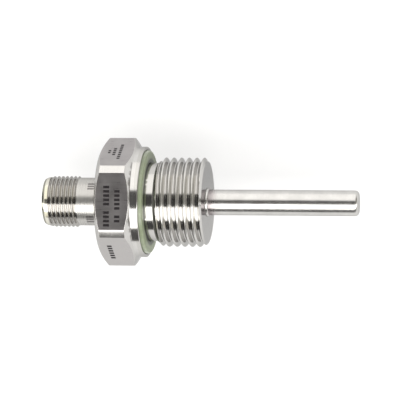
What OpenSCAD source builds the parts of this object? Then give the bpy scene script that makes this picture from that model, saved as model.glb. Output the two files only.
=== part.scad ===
// Screw-in resistance thermometer: a hexagon fitting with a pipe-thread stud, a closed sheath
// with the platinum sensor in its tip, and a round plug connector in the back.
// The long axis is +X, towards the tip. The marked flat faces +Z.
// The origin is on the axis, in the plane of the collar's sealing face. Millimetres.

/* [Hexagon and collar] */
// Width of the hexagon across its flats
hex_af = 27; // [24:0.5:32]
// Diameter that the hexagon's corners are turned down to
hex_corner_d = 30.1; // [28:0.1:36]
// Length of the hexagon, from its rear plane to the collar
hex_len = 8.5; // [7:0.1:14]
// Diameter of the flat ring left on the hexagon's rear plane
hex_rear_d = 25.4; // [22:0.1:27]
// Slope of the hexagon's turned chamfers
hex_chamfer_angle = 30; // [15:1:45]
// Length of the round collar
collar_len = 1.8; // [1.4:0.1:4]
// Edge break on the collar
collar_break = 0.15; // [0.05:0.05:0.3]

/* [Sealing ring] */
// Radial width of the groove in the collar's face, out from the neck
groove_w = 3.1; // [2.4:0.1:3.3]
// Width of the lip outside the groove, which ends the collar
lip_w = 0.7; // [0.5:0.05:0.9]
// Depth of the groove in the collar's face
groove_depth = 1; // [0.6:0.1:1.2]
// Thickness of the ring
ring_t = 1.8; // [1.3:0.1:2.4]
// Gap between the ring and the groove's outer wall
ring_gap = 0.1; // [0.05:0.01:0.2]
// How much the ring's flank draws in towards its front
ring_taper = 0.25; // [0.1:0.05:0.5]
// Edge break on the ring's front
ring_break = 0.2; // [0.1:0.05:0.3]

/* [Process thread] */
// Major diameter of the G 1/2 thread
stud_major_d = 20.955; // [20:0.005:22]
// Minor diameter of the G 1/2 thread
stud_minor_d = 18.631; // [18.5:0.001:19.5]
// Pitch of the G 1/2 thread
stud_pitch = 1.814; // [1.6:0.001:2.4]
// Half of the angle between the thread's flanks
stud_half_angle = 27.5; // [20:0.5:30]
// Length of the stud, from the sealing face to its end
stud_len = 14.4; // [12:0.1:24]
// Diameter of the plain neck behind the thread
neck_d = 18.4; // [17:0.1:18.5]
// Length of the plain neck
neck_len = 2.8; // [2:0.05:4]
// Angle between the axis and the cone that starts the thread
stud_start_angle = 45; // [30:5:60]
// Radial depth of the chamfer on the stud's end
stud_chamfer = 0.85; // [0.4:0.05:1.2]

/* [Sheath] */
// Outer diameter of the sheath
sheath_d = 6; // [5.8:0.1:7]
// Wall of the sheath
sheath_wall = 0.5; // [0.3:0.05:0.6]
// Length from the sealing face to the tip
insertion_len = 50; // [50:1:250]
// Radius of the tip's outer corner
tip_r = 1; // [0.5:0.1:1.5]
// Thickness of the tip's end wall
tip_wall = 0.8; // [0.5:0.1:1.5]
// How far the sheath goes into the stud
sheath_grip = 6.4; // [4:0.1:8]
// Radial gap round the sheath in the stud
sheath_gap = 0.05; // [0.02:0.01:0.1]
// Radial width of the weld lip round the sheath
weld_w = 0.6; // [0.3:0.1:1]
// Height of the weld lip above the stud's end
weld_h = 0.6; // [0.3:0.1:0.8]

/* [Connector shell] */
// Length of the shell behind the hexagon
shell_out_len = 14; // [13:0.1:20]
// Length of the shell's threaded part, with its lead-in
shell_thread_len = 8.2; // [6:0.1:9]
// Major diameter of the M12 thread
shell_major_d = 12; // [11.8:0.1:12.4]
// Radial depth of the M12 thread
shell_thread_depth = 0.613; // [0.4:0.001:0.7]
// Pitch of the M12 thread
shell_pitch = 1; // [0.8:0.05:1.25]
// Width of the M12 thread's crests
shell_crest_w = 0.125; // [0.05:0.005:0.2]
// Diameter of the plain shank
shank_d = 11.3; // [11.1:0.1:11.7]
// Radial depth of the whole lead-in, at the rim
lead_in_depth = 0.65; // [0.62:0.01:0.9]
// Length of the whole lead-in, up to the full diameter
lead_in_len = 2.2; // [1:0.1:2.4]
// Radial depth of the steeper break on the rim
rim_break = 0.3; // [0.1:0.05:0.4]
// Length of the break on the rim
rim_break_len = 0.6; // [0.2:0.05:0.8]
// Length of the smooth end ahead of the first full ridge
pilot_len = 1.85; // [1.2:0.05:2.2]
// Bore of the shell
shell_bore_d = 8.6; // [8.4:0.1:8.8]
// How far the shell is pressed into the hexagon
shell_grip = 4.9; // [4.4:0.1:6]

/* [Contacts] */
// Depth of the plug socket, from the rim to the insert's face
socket_depth = 9.4; // [7:0.1:10]
// Radial gap between the insert and the shell's bore
carrier_gap = 0.05; // [0.02:0.01:0.1]
// Thickness of the flange that traps the insert
flange_t = 1; // [0.6:0.1:2]
// Width of the coding rib
key_w = 1.3; // [0.8:0.1:1.6]
// Height of the coding rib above the bore's wall
key_h = 0.9; // [0.5:0.1:1.1]
// How far the coding rib stops short of the rim
key_recess = 1.7; // [1:0.1:4]
// Diameter of the circle that the contacts stand on
contact_pcd = 5; // [4.8:0.1:5.2]
// Diameter of a contact
contact_d = 1; // [0.8:0.1:1.1]
// How far the contacts stop short of the rim
contact_recess = 1.9; // [1:0.1:4]
// Diameter of the collar that holds a contact in the insert
contact_collar_d = 1.6; // [1.4:0.1:1.8]
// Length of the collar that holds a contact in the insert
contact_collar_len = 2; // [1:0.1:3]
// Diameter of a contact's solder cup
cup_d = 1.2; // [1.1:0.05:1.4]
// Depth of a solder cup
cup_depth = 1.6; // [1:0.1:1.8]
// How far a contact's tail reaches past the insert's flange
tail_len = 2; // [1.8:0.1:3]

/* [Seals inside] */
// Depth of the O-ring grooves
o_groove_depth = 0.7; // [0.5:0.05:0.8]
// Width of the O-ring grooves
o_groove_w = 1.1; // [1:0.1:1.5]
// Gap left round an O-ring in its groove
o_ring_gap = 0.02; // [0.01:0.01:0.05]
// Distance of each O-ring groove from the shell's inner end
o_groove_inset = 1.2; // [0.8:0.1:1.8]

/* [Sensor and wiring] */
// Bore of the cavity behind the stud
cavity_d = 9; // [8.6:0.1:10]
// Length of the narrow passage that the sheath stops against
passage_len = 1; // [0.6:0.1:2]
// Diameter of a lead wire over its insulation
wire_d = 0.7; // [0.5:0.05:0.75]
// Radial gap round a lead wire in a cup or a bore
wire_gap = 0.05; // [0.02:0.01:0.06]
// Straight length of a lead wire behind its cup
wire_free_len = 0.6; // [0.4:0.1:2]
// Inner bend of a lead wire, along its middle
wire_bend_r = 2; // [1.5:0.1:3]
// Angle at which a lead wire slants in from its contact to its bore
wire_slant = 20; // [16:1:30]
// Diameter of the circle that the four bores of the insulator lie on
insulator_pcd = 2.5; // [2.2:0.1:2.8]
// Radial gap between the insulator and the sheath
insulator_gap = 0.1; // [0.05:0.01:0.15]
// Length of the sheath's tip that holds the filler
filler_len = 15; // [14.8:0.1:20]
// Length of bare wire between the insulator and a splice
splice_gap = 1; // [0.5:0.1:1.2]
// Length of a splice sleeve
splice_len = 3; // [2:0.1:3.2]
// Gap between the wires and the element lead in the middle of a splice
splice_end_gap = 0.4; // [0.2:0.1:0.8]
// Thickness of a splice sleeve
splice_t = 1.2; // [1:0.05:1.5]
// Diameter of an element lead
lead_d = 0.3; // [0.2:0.05:0.4]
// Free length of an element lead
lead_free_len = 3.5; // [2:0.1:3.6]
// How far an element lead reaches into the bead
lead_grip = 1; // [0.6:0.1:1]
// Length of the sensing element
element_len = 4.5; // [2:0.1:4.6]
// Width of the sensing element
element_w = 2.4; // [2.3:0.1:2.8]
// Thickness of the sensing element's plate, below its leads
element_t = 0.6; // [0.4:0.05:1]
// Height of the glaze bead over the ends of the element's leads
bead_h = 0.4; // [0.3:0.05:0.6]

/* [Hidden] */
$fn = 64;

// Stations along X, from the rim to the tip
hex_rear_x = -collar_len - hex_len;
rim_x = hex_rear_x - shell_out_len;
pilot_x = rim_x + pilot_len;
shank_x = rim_x + shell_thread_len;
shell_end_x = hex_rear_x + shell_grip;
carrier_face_x = rim_x + socket_depth;
flange_end_x = shell_end_x + flange_t;
tail_x = flange_end_x + tail_len;
sheath_x = stud_len - sheath_grip;
passage_x = sheath_x - passage_len;
filler_x = insertion_len - filler_len;
splice_x = filler_x + splice_gap;
splice_end_x = splice_x + splice_len;
element_x = splice_end_x + lead_free_len;

// Radii that more than one piece uses
neck_r = neck_d / 2;
groove_r = neck_r + groove_w;
collar_r = groove_r + lip_w;
socket_r = shank_d / 2;
carrier_r = shell_bore_d / 2 - carrier_gap;
flange_r = socket_r - carrier_gap;
sheath_in_r = sheath_d / 2 - sheath_wall;
tip_in_r = max(tip_r - sheath_wall, 0.1);
wire_hole_r = wire_d / 2 + wire_gap;

// One ridge of each thread
stud_depth = (stud_major_d - stud_minor_d) / 2;
stud_flank_x = stud_depth * tan(stud_half_angle);
stud_crest_w = (stud_pitch - 2 * stud_flank_x) / 2;
stud_ridges = ceil((stud_len - neck_len) / stud_pitch);
shell_flank_x = shell_thread_depth * tan(30);
shell_root_w = shell_pitch - 2 * shell_flank_x - shell_crest_w;
shell_ridges = floor((shell_thread_len - pilot_len) / shell_pitch);

// Contacts stand at 45 degrees to the rib, numbered in turn
contact_angles = [45, 135, 225, 315];
// Distance of the outer wires from the middle of a splice
splice_y = insulator_pcd / 2 * cos(45);
// Depth to which wires and leads go into a splice
splice_grip = (splice_len - splice_end_gap) / 2;
// Small overlap that lets a cut pass clean through a face
cut = 1;

// Turns its children, drawn about Z, so that they lie along +X
module along_x(x = 0) {
    translate([x, 0, 0]) rotate([0, 90, 0]) children();
}

// Plain round bar from one station to another
module bar(x1, x2, r) {
    along_x(x1) cylinder(h = x2 - x1, r = r);
}

// Bar turned from an outline of [station, radius] points
module turned(outline) {
    rotate([0, 90, 0]) rotate_extrude() polygon([for (p = outline) [p[1], p[0]]]);
}

// Round ring of round section, as an O-ring lies in its groove
module o_ring(x, r_in, r_out) {
    section_r = (r_out - r_in) / 2 - o_ring_gap;
    along_x(x) rotate_extrude() translate([(r_in + r_out) / 2, 0]) circle(section_r);
}

// Outline points of one thread ridge that starts at x
function ridge(x, r_root, depth, flank_x, crest_w) = [
    [x, r_root],
    [x + flank_x, r_root + depth],
    [x + flank_x + crest_w, r_root + depth],
    [x + 2 * flank_x + crest_w, r_root]
];

// Row of ridges on a core that reaches down to the axis
module ridges(x1, x2, count, pitch, r_root, depth, flank_x, crest_w) {
    row = [for (i = [0:count - 1]) each ridge(x1 + i * pitch, r_root, depth, flank_x, crest_w)];
    last_x = max(x2, x1 + count * pitch);
    turned(concat([[x1, 0], [x1, r_root]], row, [[last_x, r_root], [last_x, 0]]));
}

// Places its children at the angle of contact n, on a circle of diameter d
module at_contact(n, d) {
    rotate([contact_angles[n - 1], 0, 0]) translate([0, 0, d / 2]) children();
}

// Envelope that the hexagon bar is turned to, with both chamfers
module hex_envelope() {
    corner_r = hex_corner_d / 2;
    rear_r = hex_rear_d / 2;
    slope = tan(hex_chamfer_angle);
    turned([
        [hex_rear_x, 0],
        [hex_rear_x, rear_r],
        [hex_rear_x + (corner_r - rear_r) * slope, corner_r],
        [-collar_len - (corner_r - collar_r) * slope, corner_r],
        [-collar_len, collar_r],
        [-collar_len, 0]
    ]);
}

module hexagon() {
    intersection() {
        hex_envelope();
        along_x(hex_rear_x) rotate(30) cylinder(h = hex_len, d = hex_af / cos(30), $fn = 6);
    }
}

// Collar with the groove that takes the sealing ring
module collar() {
    turned([
        [-collar_len - cut, 0],
        [-collar_len - cut, neck_r],
        [-collar_len, neck_r],
        [-collar_len, collar_r],
        [-collar_break, collar_r],
        [0, collar_r - collar_break],
        [0, groove_r],
        [-groove_depth, groove_r],
        [-groove_depth, neck_r],
        [0, neck_r],
        [0, 0]
    ]);
}

// Envelope of the stud: a neck, the start cone, the full diameter and the end chamfer
module stud_envelope() {
    major_r = stud_major_d / 2;
    start_x = neck_len + (major_r - neck_r) / tan(stud_start_angle);
    chamfer_x = stud_len - stud_chamfer * tan(45 - stud_half_angle / 2);
    turned([
        [0, 0],
        [0, neck_r],
        [neck_len, neck_r],
        [start_x, major_r],
        [chamfer_x, major_r],
        [stud_len, major_r - stud_chamfer],
        [stud_len, 0]
    ]);
}

module stud() {
    bar(-cut, neck_len + cut, neck_r);
    intersection() {
        stud_envelope();
        ridges(neck_len, stud_len, stud_ridges, stud_pitch, stud_minor_d / 2,
            stud_depth, stud_flank_x, stud_crest_w);
    }
}

// Everything bored out of the fitting, from the back to the front
module fitting_bores() {
    bar(hex_rear_x - cut, flange_end_x, socket_r);
    bar(flange_end_x - cut, passage_x, cavity_d / 2);
    bar(passage_x - cut, sheath_x + cut, sheath_in_r);
    bar(sheath_x, stud_len + cut, sheath_d / 2 + sheath_gap);
}

module process_fitting() {
    color("silver") difference() {
        union() {
            hexagon();
            collar();
            stud();
        }
        fitting_bores();
    }
}

// Profile ring: a flat back in the groove, a flank that draws in, a broken front edge
module sealing_ring() {
    r_in = neck_r + ring_gap / 2;
    r_back = groove_r - ring_gap;
    r_front = r_back - ring_taper;
    front_x = ring_t - groove_depth;
    color("darkseagreen") turned([
        [-groove_depth, r_in],
        [-groove_depth, r_back],
        [0, r_back],
        [front_x - ring_break, r_front],
        [front_x, r_front - ring_break],
        [front_x, r_in]
    ]);
}

// Solid bar with a rounded end, from x1 to x2
module round_ended_bar(x1, x2, r, corner_r) {
    along_x(x1) rotate_extrude() {
        square([r, x2 - x1 - corner_r]);
        square([r - corner_r, x2 - x1]);
        intersection() {
            translate([r - corner_r, x2 - x1 - corner_r]) circle(corner_r);
            translate([r - corner_r, x2 - x1 - corner_r]) square(corner_r);
        }
    }
}

// Raised lip of weld where the sheath leaves the stud
module weld_lip() {
    r = sheath_d / 2 + weld_w;
    turned([
        [stud_len, sheath_in_r + sheath_wall / 2],
        [stud_len, r],
        [stud_len + weld_h / 2, r],
        [stud_len + weld_h, r - weld_h / 2],
        [stud_len + weld_h, sheath_in_r + sheath_wall / 2]
    ]);
}

module probe_sheath() {
    color("gainsboro") difference() {
        union() {
            round_ended_bar(sheath_x, insertion_len, sheath_d / 2, tip_r);
            weld_lip();
        }
        round_ended_bar(sheath_x - cut, insertion_len - tip_wall, sheath_in_r, tip_in_r);
    }
}

// Outside of the shell: lead-in, thread, shank and the part pressed into the hexagon
module shell_envelope() {
    r = shell_major_d / 2;
    turned([
        [rim_x, 0],
        [rim_x, r - lead_in_depth],
        [rim_x + rim_break_len, r - lead_in_depth + rim_break],
        [rim_x + lead_in_len, r],
        [shank_x, r],
        [shank_x, socket_r],
        [shell_end_x, socket_r],
        [shell_end_x, 0]
    ]);
}

// Smooth end of the shell, down to the bottom of the first groove
module pilot() {
    r = shell_major_d / 2;
    groove_x = pilot_x - shell_root_w;
    turned([
        [rim_x, 0],
        [rim_x, r],
        [groove_x - shell_flank_x, r],
        [groove_x, r - shell_thread_depth],
        [pilot_x, r - shell_thread_depth],
        [pilot_x, 0]
    ]);
}

module shell_body() {
    r_root = shell_major_d / 2 - shell_thread_depth;
    intersection() {
        shell_envelope();
        union() {
            pilot();
            ridges(pilot_x, shank_x, shell_ridges, shell_pitch, r_root,
                shell_thread_depth, shell_flank_x, shell_crest_w);
            bar(shank_x - shell_flank_x, shell_end_x, socket_r);
        }
    }
}

module connector_shell() {
    groove_x = shell_end_x - o_groove_inset - o_groove_w;
    color("silver") difference() {
        shell_body();
        bar(rim_x - cut, shell_end_x + cut, shell_bore_d / 2);
        difference() {
            bar(groove_x, groove_x + o_groove_w, socket_r + cut);
            bar(groove_x - cut, groove_x + o_groove_w + cut, socket_r - o_groove_depth);
        }
    }
}

module shell_o_ring() {
    color("dimgray") o_ring(shell_end_x - o_groove_inset - o_groove_w / 2,
        socket_r - o_groove_depth, socket_r);
}

// Rib that lets the plug in one way round
module coding_rib() {
    rib_r = shell_bore_d / 2 - key_h;
    intersection() {
        bar(rim_x + key_recess, carrier_face_x + cut, carrier_r);
        translate([rim_x, -key_w / 2, rib_r]) cube([socket_depth + cut, key_w, shell_bore_d]);
    }
}

module contact_carrier() {
    groove_x = carrier_face_x + o_groove_inset;
    color("black") difference() {
        union() {
            bar(carrier_face_x, shell_end_x, carrier_r);
            bar(shell_end_x, flange_end_x, flange_r);
            coding_rib();
        }
        difference() {
            bar(groove_x, groove_x + o_groove_w, carrier_r + cut);
            bar(groove_x - cut, groove_x + o_groove_w + cut, carrier_r - o_groove_depth);
        }
        for (n = [1:4]) contact_blank(n);
    }
}

module carrier_o_ring() {
    color("dimgray") o_ring(carrier_face_x + o_groove_inset + o_groove_w / 2,
        carrier_r - o_groove_depth, shell_bore_d / 2);
}

// Contact n before its cup is drilled, which is also the hole that the insert leaves for it
module contact_blank(n) {
    r = contact_d / 2;
    nose = r / 2;
    tip_x = rim_x + contact_recess;
    collar_x = shell_end_x - contact_collar_len;
    at_contact(n, contact_pcd) turned([
        [tip_x, 0],
        [tip_x, r - nose],
        [tip_x + nose, r],
        [collar_x, r],
        [collar_x, contact_collar_d / 2],
        [shell_end_x, contact_collar_d / 2],
        [shell_end_x, cup_d / 2],
        [tail_x, cup_d / 2],
        [tail_x, 0]
    ]);
}

module contact_pin(n) {
    color("gold") difference() {
        contact_blank(n);
        at_contact(n, contact_pcd) bar(tail_x - cup_depth, tail_x + cut, wire_hole_r);
    }
}

// Wire bent by an angle in the XZ plane, with its children drawn on from the end of the bend
module wire_bend(angle) {
    side = sign(angle);
    translate([0, 0, -side * wire_bend_r]) rotate([side * 90, 0, 0])
        rotate_extrude(angle = -abs(angle), start = 90)
            translate([wire_bend_r, 0]) circle(wire_d / 2);
    translate([wire_bend_r * sin(abs(angle)), 0, -side * wire_bend_r * (1 - cos(angle))])
        rotate([0, angle, 0]) children();
}

// Lead wire n: out of its cup, slanting inwards, and down its bore to the splice
module wire_path(n) {
    drop = (contact_pcd - insulator_pcd) / 2;
    slant_len = (drop - 2 * wire_bend_r * (1 - cos(wire_slant))) / sin(wire_slant);
    fan_len = 2 * wire_bend_r * sin(wire_slant) + slant_len * cos(wire_slant);
    cup_len = cup_depth + wire_free_len;
    bore_len = splice_x + splice_grip - (tail_x + wire_free_len + fan_len);
    at_contact(n, contact_pcd) {
        bar(tail_x - cup_depth, tail_x - cup_depth + cup_len, wire_d / 2);
        translate([tail_x - cup_depth + cup_len, 0, 0]) wire_bend(wire_slant) {
            bar(0, slant_len, wire_d / 2);
            translate([slant_len, 0, 0]) wire_bend(-wire_slant) bar(0, bore_len, wire_d / 2);
        }
    }
}

module lead_wire(n) {
    color("white") wire_path(n);
}

// Resin from the insert's flange to the end of the sheath
module potting() {
    color("saddlebrown") difference() {
        union() {
            bar(flange_end_x, passage_x, cavity_d / 2);
            bar(passage_x - cut, sheath_x, sheath_in_r);
        }
        for (n = [1:4]) {
            contact_blank(n);
            wire_path(n);
        }
    }
}

module insulating_tube() {
    color("ivory") difference() {
        bar(sheath_x, filler_x, sheath_in_r - insulator_gap);
        for (n = [1:4])
            at_contact(n, insulator_pcd) bar(sheath_x - cut, filler_x + cut, wire_hole_r);
    }
}

// Sleeve on side +1 or -1 of the middle, crimped over two wires and one element lead
module splice_blank(side) {
    along_x(splice_x) linear_extrude(splice_len) translate([0, side * splice_y]) {
        square([2 * splice_y, splice_t], center = true);
        for (end = [-1, 1]) translate([end * splice_y, 0]) circle(splice_t / 2);
    }
}

module splice_sleeve(side) {
    color("goldenrod") difference() {
        splice_blank(side);
        for (n = [1:4]) wire_path(n);
        lead_path(side);
    }
}

// Lead of the sensing element, from inside its splice to inside the bead
module lead_path(side) {
    translate([0, side * splice_y, 0])
        bar(splice_end_x - splice_grip, element_x + lead_grip, lead_d / 2);
}

module element_lead(side) {
    color("lightgray") lead_path(side);
}

// Thin plate with a bead of glaze over the ends of its leads
module element_blank() {
    plate_z = -lead_d / 2 - element_t;
    translate([element_x, -element_w / 2, plate_z]) cube([element_len, element_w, element_t]);
    translate([element_x, -element_w / 2, plate_z + element_t])
        cube([2 * lead_grip, element_w, bead_h]);
}

module sensing_element() {
    color("white") difference() {
        element_blank();
        for (side = [-1, 1]) lead_path(side);
    }
}

// Powder packed round the element, from the insulator to the tip
module tip_filler() {
    color("linen") difference() {
        round_ended_bar(filler_x, insertion_len - tip_wall, sheath_in_r, tip_in_r);
        for (n = [1:4]) wire_path(n);
        for (side = [-1, 1]) {
            splice_blank(side);
            lead_path(side);
        }
        element_blank();
    }
}

process_fitting();
sealing_ring();
probe_sheath();
connector_shell();
shell_o_ring();
contact_carrier();
carrier_o_ring();
contact_pin(1);  // contact_pin_1
contact_pin(2);  // contact_pin_2
contact_pin(3);  // contact_pin_3
contact_pin(4);  // contact_pin_4
potting();
lead_wire(1);  // lead_wire_1
lead_wire(2);  // lead_wire_2
lead_wire(3);  // lead_wire_3
lead_wire(4);  // lead_wire_4
insulating_tube();
splice_sleeve(-1);  // splice_sleeve_1
splice_sleeve(1);  // splice_sleeve_2
element_lead(-1);  // element_lead_1
element_lead(1);  // element_lead_2
sensing_element();
tip_filler();
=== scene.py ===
import math
import bmesh
import bpy
from mathutils import Matrix, Vector


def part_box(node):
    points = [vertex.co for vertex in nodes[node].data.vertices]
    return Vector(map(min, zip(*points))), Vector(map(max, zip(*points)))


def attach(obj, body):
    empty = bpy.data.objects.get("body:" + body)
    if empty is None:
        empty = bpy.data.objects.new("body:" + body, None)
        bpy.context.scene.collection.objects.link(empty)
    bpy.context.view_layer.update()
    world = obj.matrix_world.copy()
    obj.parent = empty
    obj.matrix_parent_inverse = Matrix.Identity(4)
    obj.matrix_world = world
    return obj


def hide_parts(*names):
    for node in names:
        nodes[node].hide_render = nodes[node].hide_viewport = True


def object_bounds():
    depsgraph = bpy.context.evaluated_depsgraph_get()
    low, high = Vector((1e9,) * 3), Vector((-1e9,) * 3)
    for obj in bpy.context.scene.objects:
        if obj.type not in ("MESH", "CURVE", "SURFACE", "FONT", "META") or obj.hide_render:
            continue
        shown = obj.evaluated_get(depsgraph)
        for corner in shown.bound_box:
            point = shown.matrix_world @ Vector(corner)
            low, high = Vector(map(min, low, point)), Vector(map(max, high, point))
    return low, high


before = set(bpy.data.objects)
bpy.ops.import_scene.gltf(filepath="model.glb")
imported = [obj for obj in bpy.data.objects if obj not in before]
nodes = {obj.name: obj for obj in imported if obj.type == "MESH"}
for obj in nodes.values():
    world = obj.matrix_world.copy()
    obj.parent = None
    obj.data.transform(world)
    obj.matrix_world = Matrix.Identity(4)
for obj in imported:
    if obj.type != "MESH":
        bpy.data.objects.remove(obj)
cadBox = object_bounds()
mm = 0.001
print("frame loaded,", len(nodes), "solids")


# shader helpers

class Wire:
    # an output in a node tree that can be used in sums
    def __init__(self, finish, socket):
        self.finish = finish
        self.socket = socket

    def math(self, operation, *values):
        return self.finish.add("ShaderNodeMath", {"operation": operation}, dict(enumerate((self, *values))))

    def __add__(self, other):
        return self.math("ADD", other)

    def __sub__(self, other):
        return self.math("SUBTRACT", other)

    def __mul__(self, other):
        return self.math("MULTIPLY", other)

    def __truediv__(self, other):
        return self.math("DIVIDE", other)

    def __neg__(self):
        return self * -1

    def __rsub__(self, other):
        return self.finish.add("ShaderNodeMath", {"operation": "SUBTRACT"}, {0: other, 1: self})

    __radd__ = __add__
    __rmul__ = __mul__

    def between(self, low, high, soft=0.02):
        return self.step(low - soft, low + soft) * (1 - self.step(high - soft, high + soft))

    def step(self, low, high):
        return self.finish.add("ShaderNodeMapRange", {"interpolation_type": "SMOOTHSTEP"},
                               {"Value": self, "From Min": low, "From Max": high})


class Finish:
    # builds one material, or the tree of the owner it is given
    def __init__(self, name, owner=None):
        self.material = owner or bpy.data.materials.new(name)
        self.material.use_nodes = True
        self.tree = self.material.node_tree
        self.tree.nodes.clear()

    def add(self, kind, settings=None, sockets=None, out=0):
        node = self.tree.nodes.new(kind)
        for key, value in (settings or {}).items():
            if key == "stops":
                while len(node.color_ramp.elements) < len(value):
                    node.color_ramp.elements.new(0.5)
                for element, (place, colour) in zip(node.color_ramp.elements, value):
                    element.position = place
                    element.color = (*colour, 1)
            else:
                setattr(node, key, value)
        for key, value in (sockets or {}).items():
            if isinstance(value, Wire):
                self.tree.links.new(value.socket, node.inputs[key])
            elif isinstance(value, tuple) and len(value) == 3 and node.inputs[key].type == "RGBA":
                node.inputs[key].default_value = (*value, 1)
            else:
                node.inputs[key].default_value = value
        return Wire(self, node.outputs[out]) if node.outputs else None

    def place(self):
        # object coordinates in millimetres: the vector, x, y, z and the distance from the axis
        spot = self.add("ShaderNodeTexCoord", out="Object")
        spot = self.add("ShaderNodeVectorMath", {"operation": "SCALE"}, {0: spot, "Scale": 1 / mm})
        x, y, z = (self.add("ShaderNodeSeparateXYZ", {}, {0: spot}, out) for out in (0, 1, 2))
        return spot, x, y, z, (y * y + z * z).math("SQRT")

    def join(self, x, y, z):
        return self.add("ShaderNodeCombineXYZ", {}, {0: x, 1: y, 2: z})

    def noise(self, spot, scale=1.0, detail=2.0, roughness=0.5):
        sockets = {"Vector": spot, "Scale": scale, "Detail": detail, "Roughness": roughness}
        return self.add("ShaderNodeTexNoise", {}, sockets)

    def blend(self, mask, first, second):
        return self.add("ShaderNodeMix", {"data_type": "RGBA"}, {0: mask, 6: first, 7: second}, 2)

    def ticks(self, x, along, span, spacing, stretch):
        # a row of laser ticks: span is its reach in x, stretch its reach along
        dashes = (along / spacing).math("FRACT").between(0.1, 0.76, 0.06)
        return dashes * x.between(*span, 0.05) * along.between(*stretch, 0.05)

    def bump(self, height, depth):
        # depth is in millimetres for a height of 1
        return self.add("ShaderNodeBump", {}, {"Strength": 1.0, "Distance": depth * mm, "Height": height})

    def done(self, sockets):
        surface = self.add("ShaderNodeBsdfPrincipled", {}, sockets)
        self.add("ShaderNodeOutputMaterial", {}, {"Surface": surface})
        return self.material


# finishes

def turnedFinish(name, look):
    # steel off the lathe: rings follow the tool, so they run with x on a bar and with the radius on a face
    steel = Finish(name)
    spot, x, y, z, radius = steel.place()
    rings = steel.noise(steel.join(x * look["ringRate"], radius * look["ringRate"], y * 0.1), detail=2)
    waves = steel.noise(steel.join(x * 1.9, radius * 1.9, y * 0.05), detail=3)
    cloud = steel.noise(spot, 0.22, 3)
    plain = steel.blend((cloud * 0.6 + rings * 0.4).step(0.3, 0.7), look["dark"], look["light"])
    low, high, crest = look["thread"]
    groove = x.between(low, high, 0.05) * (1 - radius.step(crest - 0.2, crest))
    matt = x.between(*look["matt"], 0.1)
    # painted light: the neck reach takes its own tone, painted shade between collar and thread on the fitting
    # and a paler warm painted reflection on the shell's lead-in
    shaded = steel.blend(x.between(*look["neck"], 0.1), plain, look["neckPaintedLight"])
    # painted shade: the face reach takes a darker tone, darker still towards +Y
    facePaintedShade = steel.blend(y.step(*look["faceRise"]), look["facePaintedShade"], look["faceTopPaintedShade"])
    shaded = steel.blend(x.between(*look["face"], 0.1), shaded, facePaintedShade)
    for span, spacing, stretch in look["marks"]:
        mark = steel.ticks(x, y, span, spacing, stretch) * z.step(1, 2)
        shaded = steel.blend(mark, shaded, look["markTone"])
    return steel.done({
        "Base Color": steel.blend(groove, shaded, look["flank"]),
        "Specular Tint": look["edge"],
        "Metallic": 1 - matt * look["haze"] - x.between(*look["lip"], 0.1) * look["lipHaze"],
        "Roughness": look["rough"] + (rings - 0.5) * look["roughSpread"] + (cloud - 0.5) * 0.05
                     + matt * look["mattRough"] + x.between(*look["cone"], 0.1) * look["coneRough"],
        "Normal": steel.bump(rings * 0.5 + waves * 0.5, look["ringDepth"]),
    })


# pairs are reaches in x, but faceRise is one in y, and thread adds the crest's radius
# marks are rows of ticks: reach in x, spacing, stretch in y
turnedLook = {
    "dark": (0.55, 0.54, 0.525), "light": (0.61, 0.60, 0.585), "rough": 0.13, "roughSpread": 0.05,
    "ringRate": 8, "ringDepth": 0.0012, "edge": (0.58, 0.58, 0.58, 1),
    "thread": (2.8, 14.4, 10.4775), "flank": (0.575, 0.565, 0.55),
    "matt": (-10.4, -1.85), "mattRough": 0.05, "haze": 0.07, "lip": (-1.9, 0.1), "lipHaze": 0.035,
    # the fitting's neck tone is painted shade in the recess between collar and thread
    "neck": (-0.9, 2.9), "neckPaintedLight": (0.53, 0.52, 0.50), "cone": (2.75, 3.35), "coneRough": 0.3,
    # the face tones are painted shade: the stud's end face is darker, and darker towards its top
    "face": (14.3, 14.6), "facePaintedShade": (0.45, 0.44, 0.43), "faceTopPaintedShade": (0.36, 0.355, 0.36), "faceRise": (-7, 9),
    "marks": [], "markTone": (0.16, 0.15, 0.15),
}
shellLook = {
    **turnedLook,
    "dark": (0.44, 0.43, 0.415), "light": (0.50, 0.49, 0.47),
    "thread": (-23, -16.1, 6), "flank": (0.475, 0.46, 0.44),
    "matt": (-16, -6.2), "mattRough": 0.15, "haze": 0.175,
    # on the shell the neck tone is a paler warm painted reflection on the lead-in
    "neck": (-23.8, -22.9), "neckPaintedLight": (0.7, 0.68, 0.6), "coneRough": 0,
    # the shell's face tones paint its rim face darker as painted shade
    "face": (-24.5, -23.8), "facePaintedShade": (0.3, 0.295, 0.25), "faceTopPaintedShade": (0.3, 0.295, 0.25),
    "marks": [((-13.5, -11.9), 0.55, (2.75, 4.4)), ((-13.9, -12.1), 0.55, (-4.95, -3.3))],
}
turnedSteel = turnedFinish("turnedSteel", turnedLook)
shellSteel = turnedFinish("shellSteel", shellLook)

facetLook = {
    "dark": (0.3, 0.285, 0.286), "light": (0.35, 0.333, 0.334), "rough": 0.3, "lineDepth": 0.0012,
    # painted light: the flats below the given y take a paler tone
    "paintedLightTone": (0.42, 0.405, 0.40), "paintedLightBelowY": -7.9,
    "mark": (0.028, 0.025, 0.027), "markTop": 13.3, "markRough": 0.3,
    # each row of ticks: lean of its flat, reach in x, tick spacing, stretches along the flat
    "rows": [
        (0, (-7.9, -6.45), 0.98, [(-5.9, -1.96), (-1, 3.95)]),
        (0, (-5.3, -4), 0.98, [(-4.9, -2.94), (-1.96, 2.97)]),
        (60, (-8.1, -7.5), 0.9, [(-0.9, 0.9)]),
        (60, (-6.95, -6.25), 0.9, [(-1.8, 1.8)]),
        (60, (-5.6, -4.9), 0.9, [(-3.6, 3.6)]),
        (-60, (-7.8, -6.7), 1.1, [(-3.3, 3.3)]),
    ],
}


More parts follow.
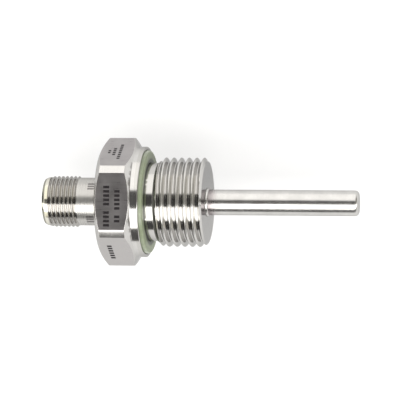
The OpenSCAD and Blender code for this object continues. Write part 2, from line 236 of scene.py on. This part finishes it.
def facetFinish(name, look):
    # drawn hexagon bar: faint lines along the bar, rows of plain laser ticks on three flats, one flat painted
    # paler as painted light
    steel = Finish(name)
    spot, x, y, z, _ = steel.place()
    lines = steel.noise(steel.join(x * 0.25, y * 7, z * 7), detail=2)
    cloud = steel.noise(spot, 0.3, 3)
    marks = 0
    for lean, span, spacing, stretches in look["rows"]:
        cosLean, sinLean = math.cos(math.radians(lean)), math.sin(math.radians(lean))
        along = y * cosLean - z * sinLean
        onFlat = (z * cosLean + y * sinLean).math("GREATER_THAN", look["markTop"])
        for stretch in stretches:
            marks = marks + steel.ticks(x, along, span, spacing, stretch) * onFlat
    plain = steel.blend((cloud * 0.6 + lines * 0.4).step(0.3, 0.7), look["dark"], look["light"])
    # painted light: the flats towards -Y are painted paler
    plain = steel.blend(y.step(look["paintedLightBelowY"] - 0.3, look["paintedLightBelowY"]), look["paintedLightTone"], plain)
    return steel.done({
        "Base Color": steel.blend(marks, plain, look["mark"]),
        "Metallic": 1.0,
        "Roughness": look["rough"] + (lines - 0.5) * 0.1 + (cloud - 0.5) * 0.1 + marks * look["markRough"],
        "Normal": steel.bump(lines, look["lineDepth"]),
    })


facetSteel = facetFinish("facetSteel", facetLook)

sheathLook = {
    "dark": (0.54, 0.53, 0.515), "light": (0.62, 0.61, 0.595), "rough": 0.25, "ringDepth": 0.0012,
    "edge": (0.58, 0.58, 0.58, 1), "weldX": 14.9,
    "heat": (0.42, 0.355, 0.37), "heatLength": 2.6, "heatShare": 0.55,
}


def sheathFinish(name, look):
    # ground and polished tube, with a faint heat tint beside the weld
    steel = Finish(name)
    spot, x, y, z, radius = steel.place()
    rings = steel.noise(steel.join(x * 5, radius * 5, y * 0.15), detail=2)
    cloud = steel.noise(spot, 0.35, 3)
    weldX = look["weldX"]
    heat = x.step(weldX - 0.25, weldX) * (1 - x.step(weldX, weldX + look["heatLength"])) * look["heatShare"]
    plain = steel.blend((cloud * 0.7 + rings * 0.3).step(0.3, 0.7), look["dark"], look["light"])
    return steel.done({
        "Base Color": steel.blend(heat, plain, look["heat"]),
        "Specular Tint": look["edge"],
        "Metallic": 1.0,
        "Roughness": look["rough"] + (rings - 0.5) * 0.08 + (cloud - 0.5) * 0.06 + heat * 0.1,
        "Normal": steel.bump(rings, look["ringDepth"]),
    })


sheathSteel = sheathFinish("sheathSteel", sheathLook)


def softFinish(name, dark, light, rough, grain, grainDepth, shine=None, paintedShadeRadius=None):
    # rubber, plastic, resin or ceramic with a cloudy tone and a fine grain
    # a gloss starts at the radius shine, and inside the radius given for painted shade the tone darkens as
    # painted shade where the ring meets the neck
    finish = Finish(name)
    spot, x, y, z, radius = finish.place()
    cloud = finish.noise(spot, 0.6, 3)
    grit = finish.noise(spot, grain, 3)
    tone = finish.blend((cloud * 0.6 + grit * 0.4).step(0.3, 0.7), dark, light)
    if paintedShadeRadius:
        # painted shade: a much darker tone towards the inner edge
        tone = finish.blend(radius.step(paintedShadeRadius - 0.5, paintedShadeRadius + 0.3), tuple(value * 0.2 for value in dark), tone)
    return finish.done({
        "Base Color": tone,
        "Roughness": rough + (grit - 0.5) * 0.16,
        "Coat Weight": radius.step(shine, shine + 0.15) * 0.8 if shine else 0,
        "Coat Roughness": 0.16,
        "Specular IOR Level": 0.3,
        "Normal": finish.bump(grit, grainDepth),
    })


# the ring's inner edge is darkened as painted shade where it meets the neck
greenRubber = softFinish("greenRubber", (0.215, 0.255, 0.16), (0.28, 0.32, 0.215), 0.42, 3.0, 0.004,
                         shine=11.9, paintedShadeRadius=10.3)
blackRubber = softFinish("blackRubber", (0.018, 0.018, 0.018), (0.035, 0.035, 0.035), 0.5, 4.0, 0.004)
insertPlastic = softFinish("insertPlastic", (0.022, 0.022, 0.024), (0.038, 0.038, 0.041), 0.42, 6.0, 0.003)
pottingResin = softFinish("pottingResin", (0.13, 0.075, 0.045), (0.24, 0.15, 0.09), 0.3, 1.5, 0.004)
wireInsulation = softFinish("wireInsulation", (0.74, 0.72, 0.66), (0.84, 0.83, 0.78), 0.34, 5.0, 0.002)
firedCeramic = softFinish("firedCeramic", (0.78, 0.74, 0.65), (0.88, 0.85, 0.78), 0.6, 7.0, 0.004)


def wiredFinish(name, dark, light, rough):
    # drawn or plated metal with fine lines along its length
    metal = Finish(name)
    spot, x, y, z, _ = metal.place()
    lines = metal.noise(metal.join(x * 0.5, y * 9, z * 9), detail=2)
    cloud = metal.noise(spot, 0.8, 2)
    return metal.done({
        "Base Color": metal.blend((cloud * 0.7 + lines * 0.3).step(0.3, 0.7), dark, light),
        "Metallic": 1.0,
        "Roughness": rough + (lines - 0.5) * 0.12,
        "Normal": metal.bump(lines, 0.0008),
    })


contactGold = wiredFinish("contactGold", (0.78, 0.54, 0.20), (0.88, 0.66, 0.30), 0.2)
spliceMetal = wiredFinish("spliceMetal", (0.60, 0.56, 0.50), (0.74, 0.70, 0.64), 0.3)
leadMetal = wiredFinish("leadMetal", (0.68, 0.67, 0.64), (0.80, 0.79, 0.76), 0.25)
print("finishes made:", len(bpy.data.materials))


# mesh helpers

weldGap = 0.0002 * mm
sharpAngle = math.radians(38)


def rounded(points, steps=3):
    # (x, radius, edge) rows; an edge above 0 is cut back by that much on both sides and rounded
    rows = []
    for index, (x, radius, edge) in enumerate(points):
        corner = Vector((x, radius))
        if not edge:
            rows.append(corner)
            continue
        before = Vector(points[index - 1][:2]) - corner
        after = Vector(points[index + 1][:2]) - corner
        size = min(edge, before.length * 0.45, after.length * 0.45)
        start = corner + before.normalized() * size
        end = corner + after.normalized() * size
        for step in range(steps + 1):
            s = step / steps
            rows.append(start * (1 - s) ** 2 + corner * 2 * s * (1 - s) + end * s ** 2)
    return rows


def softMin(a, b, blend):
    share = max(blend - abs(a - b), 0) / blend
    return min(a, b) - share * share * blend / 4


def smoothStep(value, low, high):
    share = min(max((value - low) / (high - low), 0), 1)
    return share * share * (3 - 2 * share)


def threadRows(turn, thread):
    # one column through a right-hand thread that is cut to its start and end cones
    pitch, halfAngle = thread["pitch"], math.radians(thread["halfAngle"])
    shift = thread["crestX"] + pitch * (turn / math.tau - 0.25)
    offsets = [-s for s in reversed(thread["rows"][1:-1])] + list(thread["rows"])
    firstRidge = math.floor((thread["startX"] - thread["crestX"]) / pitch) - 2
    lastRidge = math.ceil((thread["endX"] - thread["crestX"]) / pitch) + 2
    slope = 1 / math.tan(halfAngle)
    crest = thread["crestHalf"]
    root = pitch / 2 - crest - thread["depth"] / slope
    rows = []
    for ridge in range(firstRidge, lastRidge):
        for offset in offsets:
            x = min(max(shift + ridge * pitch + offset, thread["startX"]), thread["endX"])
            away = abs((x - shift + pitch / 2) % pitch - pitch / 2)
            height = softMin(0, (crest - away) * slope, crest * slope)
            height = -softMin(-height, thread["depth"], root * slope)
            height *= smoothStep(x, *thread["fade"])
            startCone = thread["startRadius"] + (x - thread["startX"]) * thread["startSlope"]
            endCone = thread["endRadius"] + (thread["endX"] - x) * thread["endSlope"]
            rows.append((x, min(thread["radius"] + height, startCone, endCone)))
    return rows, len(offsets)


def turnedMesh(name, turns, column, materials, seam=None, zone=None):
    # column(turn) gives (x, radius) rows in millimetres; seam is (first row, last row, shift) of a thread
    build = bmesh.new()
    columns = [[build.verts.new((x * mm, radius * mm * math.cos(turn), radius * mm * math.sin(turn)))
                for x, radius in column(turn)] for turn in turns]
    count = len(columns[0])
    first, last, shift = seam or (count, count, 0)
    for index, here in enumerate(columns):
        there = columns[(index + 1) % len(columns)]
        atSeam = index + 1 == len(columns)
        for row in range(count):
            pair = (row, (row + 1) % count)
            other = [min(r + shift, last) if atSeam and first <= r <= last else r for r in pair]
            corners = dict.fromkeys((here[pair[0]], here[pair[1]], there[other[1]], there[other[0]]))
            if len(corners) > 2:
                build.faces.new(corners)
    bmesh.ops.remove_doubles(build, verts=build.verts, dist=weldGap)
    bmesh.ops.dissolve_degenerate(build, edges=build.edges, dist=weldGap)
    bmesh.ops.recalc_face_normals(build, faces=build.faces)
    return finished(build, name, materials, zone)


def finished(build, name, materials, zone=None):
    # zone(centre, normal) gives each face its material's number, with the centre in millimetres
    for face in build.faces:
        face.smooth = True
        if zone:
            face.material_index = zone(face.calc_center_median() / mm, face.normal)
    mesh = bpy.data.meshes.new(name)
    build.to_mesh(mesh)
    build.free()
    mesh.set_sharp_from_angle(angle=sharpAngle)
    for material in materials:
        mesh.materials.append(material)
    piece = bpy.data.objects.new(name, mesh)
    bpy.context.scene.collection.objects.link(piece)
    weighted = piece.modifiers.new("evenNormals", "WEIGHTED_NORMAL")
    weighted.keep_sharp = True
    print(name, "made,", len(mesh.polygons), "faces")
    return piece


def turnsOf(count, extra=()):
    # evenly spaced turns with extra ones, in radians, none closer than a fifth of a degree
    even = [index * math.tau / count for index in range(count)]
    turns = []
    for turn in sorted(even + [turn % math.tau for turn in extra]):
        if not turns or turn - turns[-1] > math.radians(0.2):
            turns.append(turn)
    return turns


def standIn(piece, slot, *solids):
    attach(piece, "root")
    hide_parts(*solids)


def stations(solid):
    low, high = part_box(solid)
    return low.x / mm, high.x / mm


# the fitting: hexagon, collar, seal groove and pipe-thread stud in one turned piece

rearX, endX = stations("process_fitting")
fitting = {
    "acrossFlats": 27, "flatRadius": 13.2, "cornerRadius": 15.05, "cornerBlend": 0.12, "rearRadius": 12.7,
    "chamfer": 30, "collarX": -1.8, "collarRadius": 13, "collarBreak": 0.15, "lipRadius": 12.3, "grooveX": -1,
    "neckRadius": 9.2, "endBreak": 0.165, "socketRadius": 5.65, "socketBreak": 0.25, "flangeX": -4.4,
    "cavityRadius": 4.5, "passageX": 7, "passageRadius": 2.5, "sheathX": 8, "holeRadius": 3.05, "edge": 0.12,
    "columns": 192,
}
studThread = {
    "pitch": 1.814, "halfAngle": 27.5, "radius": 10.4775, "depth": 1.162, "crestHalf": 0.151, "crestX": 3.17,
    "startX": 2.8, "startRadius": fitting["neckRadius"], "startSlope": 1, "fade": (1, 2),
    "endX": endX - 0.1, "endRadius": 9.792, "endSlope": 1.648,
    "rows": (0, 0.08, 0.16, 0.24, 0.33, 0.4535, 0.58, 0.67, 0.75, 0.83, 0.907),
}


def fromFlat(turn):
    # turn away from the middle of the nearest flat
    return (turn - math.pi / 2 + math.pi / 6) % (math.pi / 3) - math.pi / 6


def hexRadius(turn):
    flat = fitting["acrossFlats"] / 2 / math.cos(fromFlat(turn))
    return softMin(flat, fitting["cornerRadius"], fitting["cornerBlend"])


def fittingColumn(turn):
    f, edge = fitting, fitting["edge"]
    radius = hexRadius(turn)
    slope = math.tan(math.radians(f["chamfer"]))
    before = rounded([
        (f["flangeX"] - 2, f["socketRadius"], 0),
        (rearX + f["socketBreak"], f["socketRadius"], 0.06),
        (rearX, f["socketRadius"] + f["socketBreak"], 0.06),
        (rearX, f["rearRadius"], edge),
        (rearX + (radius - f["rearRadius"]) * slope, radius, edge),
        (f["collarX"] - (radius - f["collarRadius"]) * slope, radius, edge),
        (f["collarX"], f["collarRadius"], 0.06),
        (-f["collarBreak"], f["collarRadius"], 0.06),
        (0, f["collarRadius"] - f["collarBreak"], 0.06),
        (0, f["lipRadius"], 0.05),
        (f["grooveX"], f["lipRadius"], 0.1),
        (f["grooveX"], f["neckRadius"], 0.2),
        (studThread["startX"] - 0.05, f["neckRadius"], 0),
    ])
    thread, perPitch = threadRows(turn, studThread)
    after = rounded([
        (*thread[-1], 0),
        (endX, studThread["endRadius"] - f["endBreak"], 0.08),
        (endX, f["holeRadius"], 0),
        (f["sheathX"], f["holeRadius"], 0),
        (f["sheathX"], f["passageRadius"], 0),
        (f["passageX"], f["passageRadius"], 0),
        (f["passageX"], f["cavityRadius"], 0),
        (f["flangeX"], f["cavityRadius"], 0),
        (f["flangeX"], f["socketRadius"], 0),
    ])[1:]
    fitting["seam"] = (len(before), len(before) + len(thread) - 1, perPitch)
    return [*before, *thread, *after]


landHalf = math.acos(fitting["acrossFlats"] / 2 / fitting["cornerRadius"])
edgeTurns = [math.pi / 2 + side * math.pi / 3 + sign * landHalf + math.radians(step)
             for side in range(6) for sign in (-1, 1) for step in (-1, -0.65, -0.3, 0, 0.3, 0.65, 1)]


def fittingZone(centre, normal):
    # the six flats are drawn, all the rest is turned
    inHexagon = rearX < centre.x < fitting["collarX"] and centre.yz.length > fitting["flatRadius"]
    onFlat = abs(fromFlat(math.atan2(centre.z, centre.y))) < landHalf and abs(normal.x) < 0.3
    return 1 if inHexagon and onFlat else 0


fittingColumn(0)  # sets the seam
fittingPiece = turnedMesh("hexFitting", turnsOf(fitting["columns"], edgeTurns), fittingColumn,
                          (turnedSteel, facetSteel), fitting["seam"], fittingZone)
standIn(fittingPiece, "turned_steel", "process_fitting")


# the sealing ring in the collar's groove

ringBack, ringFront = stations("sealing_ring")
ring = {"inner": 9.25, "outer": 12.2, "frontOuter": 11.95, "edge": 0.3, "innerEdge": 0.15, "outerEdge": 0.2,
        "columns": 192}


def ringColumn(turn):
    r, middle = ring, (ringBack + ringFront) / 2
    return rounded([
        (middle, r["inner"], 0),
        (ringFront, r["inner"], r["innerEdge"]),
        (ringFront, r["frontOuter"], r["edge"]),
        (0, r["outer"], r["outerEdge"]),
        (ringBack, r["outer"], r["outerEdge"]),
        (ringBack, r["inner"], r["innerEdge"]),
        (middle, r["inner"], 0),
    ], 5)[:-1]


ringPiece = turnedMesh("profileSeal", turnsOf(ring["columns"]), ringColumn, (greenRubber,))
standIn(ringPiece, "green_rubber", "sealing_ring")


# the sheath: a closed tube with a rounded tip and a weld bead on the stud's end

sheathBack, tipX = stations("probe_sheath")
sheath = {
    "radius": 3, "inner": 2.5, "tipEdge": 1, "tipSteps": 8, "tipWall": 0.8, "innerEdge": 0.5,
    "bead": 0.42, "beadLength": 0.45, "beadSteps": 6, "ripples": 44, "rippleDepth": 0.02, "columns": 128,
}


def sheathColumn(turn):
    s = sheath
    ripple = s["rippleDepth"] * (0.5 + 0.5 * math.sin(turn * s["ripples"] + 1.3 * math.sin(3 * turn)))
    column = rounded([
        (sheathBack, s["inner"], 0),
        (sheathBack, s["radius"], 0),
        (endX, s["radius"], 0),
        (endX, s["radius"] + s["bead"], 0),
    ])
    for step in range(1, s["beadSteps"] + 1):
        swing = math.pi / 2 * step / s["beadSteps"]
        column.append((endX + s["beadLength"] * math.sin(swing) - ripple * 0.5 * math.sin(2 * swing),
                       s["radius"] + s["bead"] * math.cos(swing) - ripple * math.sin(2 * swing)))
    for step in range(s["tipSteps"] + 1):
        swing = math.pi / 2 * step / s["tipSteps"]
        column.append((tipX - s["tipEdge"] * (1 - math.sin(swing)),
                       s["radius"] - s["tipEdge"] * (1 - math.cos(swing))))
    inTip = tipX - s["tipWall"]
    return column + rounded([
        (tipX, 0, 0),
        (inTip, 0, 0),
        (inTip, s["inner"], s["innerEdge"]),
        (tipX - 10, s["inner"], 0),
    ])


sheathPiece = turnedMesh("probeTube", turnsOf(sheath["columns"]), sheathColumn, (sheathSteel,))
standIn(sheathPiece, "sheath_steel", "probe_sheath")


# the connector shell with its M12 thread

rimX, shellEndX = stations("connector_shell")
shell = {
    "bore": 4.3, "mouth": 0.3, "rimRadius": 5.35, "breakLength": 0.6, "breakDepth": 0.3, "shankX": -16.1,
    "shankRadius": 5.65, "grooveX": -7.7, "grooveWidth": 1.1, "grooveDepth": 0.7, "columns": 144,
}
shellThread = {
    "pitch": 1, "halfAngle": 30, "radius": 6, "depth": 0.613, "crestHalf": 0.0625, "crestX": -22.035,
    "startX": rimX + 0.8, "startRadius": 5.69, "startSlope": 0.2, "fade": (-23.15, -22.8),
    "endX": shell["shankX"], "endRadius": shell["shankRadius"], "endSlope": 1.3,
    "rows": (0, 0.04, 0.08, 0.14, 0.25, 0.34, 0.4, 0.45, 0.5),
}


def shellColumn(turn):
    s = shell
    grooveEndX, grooveRadius = s["grooveX"] + s["grooveWidth"], s["shankRadius"] - s["grooveDepth"]
    before = rounded([
        (-18, s["bore"], 0),
        (rimX + s["mouth"], s["bore"], 0.1),
        (rimX, s["bore"] + s["mouth"], 0.1),
        (rimX, s["rimRadius"], 0.08),
        (rimX + s["breakLength"], s["rimRadius"] + s["breakDepth"], 0.15),
        (shellThread["startX"] - 0.01, shellThread["startRadius"] - 0.002, 0),
    ])
    thread, perPitch = threadRows(turn, shellThread)
    after = rounded([
        (s["shankX"] + 0.01, s["shankRadius"], 0),
        (s["grooveX"], s["shankRadius"], 0),
        (s["grooveX"], grooveRadius, 0),
        (grooveEndX, grooveRadius, 0),
        (grooveEndX, s["shankRadius"], 0),
        (shellEndX, s["shankRadius"], 0.2),
        (shellEndX, s["bore"], 0.1),
        (shellEndX - 3, s["bore"], 0),
    ])
    shell["seam"] = (len(before), len(before) + len(thread) - 1, perPitch)
    return [*before, *thread, *after]


shellColumn(0)  # sets the seam
shellPiece = turnedMesh("plugShell", turnsOf(shell["columns"]), shellColumn, (shellSteel,), shell["seam"])
standIn(shellPiece, "shell_steel", "connector_shell")


# solids that keep their own shape

dressing = {
    "contact_carrier": insertPlastic, "shell_o_ring": blackRubber, "carrier_o_ring": blackRubber,
    "contact_pin": contactGold, "potting": pottingResin, "lead_wire": wireInsulation,
    "insulating_tube": firedCeramic, "splice_sleeve": spliceMetal, "element_lead": leadMetal,
    "sensing_element": firedCeramic, "tip_filler": firedCeramic,
}
for solid, piece in nodes.items():
    for start, material in dressing.items():
        if solid.startswith(start):
            piece.data.materials.clear()
            piece.data.materials.append(material)
print("solids dressed")


# camera

# offsets and focal length are shares of the picture's width
view = {"tilt": 10.75, "roll": 0.396, "distance": 0.5935, "focal": 6.305,
        "offsetX": -0.13105, "offsetY": -0.004825}
tilt, roll = math.radians(view["tilt"]), math.radians(view["roll"])
back = Vector((math.sin(tilt), 0, math.cos(tilt)))
right = Vector((math.cos(tilt), 0, -math.sin(tilt)))
up = Vector((0, 1, 0))
rightRolled = right * math.cos(roll) + up * math.sin(roll)
upRolled = up * math.cos(roll) - right * math.sin(roll)
looking = Matrix((rightRolled, upRolled, back)).transposed()
aside = Vector((view["offsetX"], view["offsetY"], -view["focal"]))
camera = bpy.data.cameras.new("camera")
camera.sensor_width = 36
camera.lens = view["focal"] * camera.sensor_width
camera.clip_start = 0.01
camera.clip_end = 20
eye = bpy.data.objects.new("camera", camera)
bpy.context.scene.collection.objects.link(eye)
turnAside = aside.rotation_difference(Vector((0, 0, -1))).to_matrix()
eye.matrix_world = Matrix.Translation(back * view["distance"]) @ (looking @ turnAside).to_4x4()
bpy.context.scene.camera = eye
bpy.context.scene.view_settings.view_transform = "Standard"


# floor and light

floor = {"half": 3, "dark": (0.34, 0.34, 0.34), "light": (0.36, 0.36, 0.36), "lift": (0.64, 0.64, 0.64)}
build = bmesh.new()
bmesh.ops.create_grid(build, x_segments=8, y_segments=8, size=floor["half"])
bmesh.ops.translate(build, verts=build.verts, vec=(0, 0, cadBox[0].z))
paper = Finish("paper")
rays = ("Is Camera Ray", "Is Glossy Ray", "Is Transmission Ray")
direct, glossy, through = (paper.add("ShaderNodeLightPath", out=ray) for ray in rays)
seen = (direct + glossy + through).math("MINIMUM", 1)
grain = paper.noise(paper.place()[0], 0.05, 2)
paper.done({
    "Base Color": paper.blend(grain, floor["dark"], floor["light"]),
    "Roughness": 1.0,
    "Specular IOR Level": 0.0,
    "Emission Color": paper.blend(seen, (0.0, 0.0, 0.0), floor["lift"]),
    "Emission Strength": 1.0,
})
floorPiece = finished(build, "floor", (paper.material,))

# the room, by the angle round the long axis: 0 is straight up and plus leans to -Y
# white is a bright strip; cream, left, end and right are tones that take over where a heading leans along X
room = {
    "bands": [(-180, 0.38), (-95, 0.5), (-86, 0.62), (-70, 0.64), (-26, 0.65), (-22, 0.031), (88, 0.031),
              (91, 0.38), (180, 0.38)],
    "warm": (1.0, 0.985, 0.96), "level": 2.6, "spread": 0.45, "white": (15, 56), "glare": (1.45, 1.44, 1.41),
    "cream": (0.58, 0.565, 0.49), "spot": (-12, 15), "left": (0.42, 0.414, 0.39), "end": (0.09, 0.09, 0.08),
    "right": (0.14, 0.135, 0.12),
}
world = bpy.data.worlds.new("studio")
bpy.context.scene.world = world
sky = Finish("studio", world)
heading = sky.add("ShaderNodeTexCoord", out="Generated")
headX, headY, headZ = (sky.add("ShaderNodeSeparateXYZ", {}, {0: heading}, out) for out in (0, 1, 2))
angle = (-headY).math("ARCTAN2", headZ) / math.tau
stops = [((degrees + 180) / 360, [level * part for part in room["warm"]]) for degrees, level in room["bands"]]
widened = angle / (1 + headX.step(0.5, 0.9) * room["spread"]) + 0.5
glowing = sky.add("ShaderNodeValToRGB", {"stops": stops}, {0: widened})
white, spot = (angle.between(low / 360, high / 360, 0.006) for low, high in (room["white"], room["spot"]))
creamy = (-headX).step(0.47, 0.53) * (1 - spot * (-headX).between(0.46, 0.64, 0.03))
glowing = sky.blend(creamy, glowing, room["cream"])
glowing = sky.blend((-headX).step(0.6, 0.64), glowing, room["left"])
glowing = sky.blend((-headX).step(0.872, 0.892), glowing, room["end"])
glowing = sky.blend(headX.step(0.5, 0.7), glowing, room["right"])
glowing = sky.blend(white, glowing, room["glare"])
lit = sky.add("ShaderNodeBackground", {}, {"Color": glowing, "Strength": room["level"]})
sky.add("ShaderNodeOutputWorld", {}, {"Surface": lit})
print("camera, floor and light set")
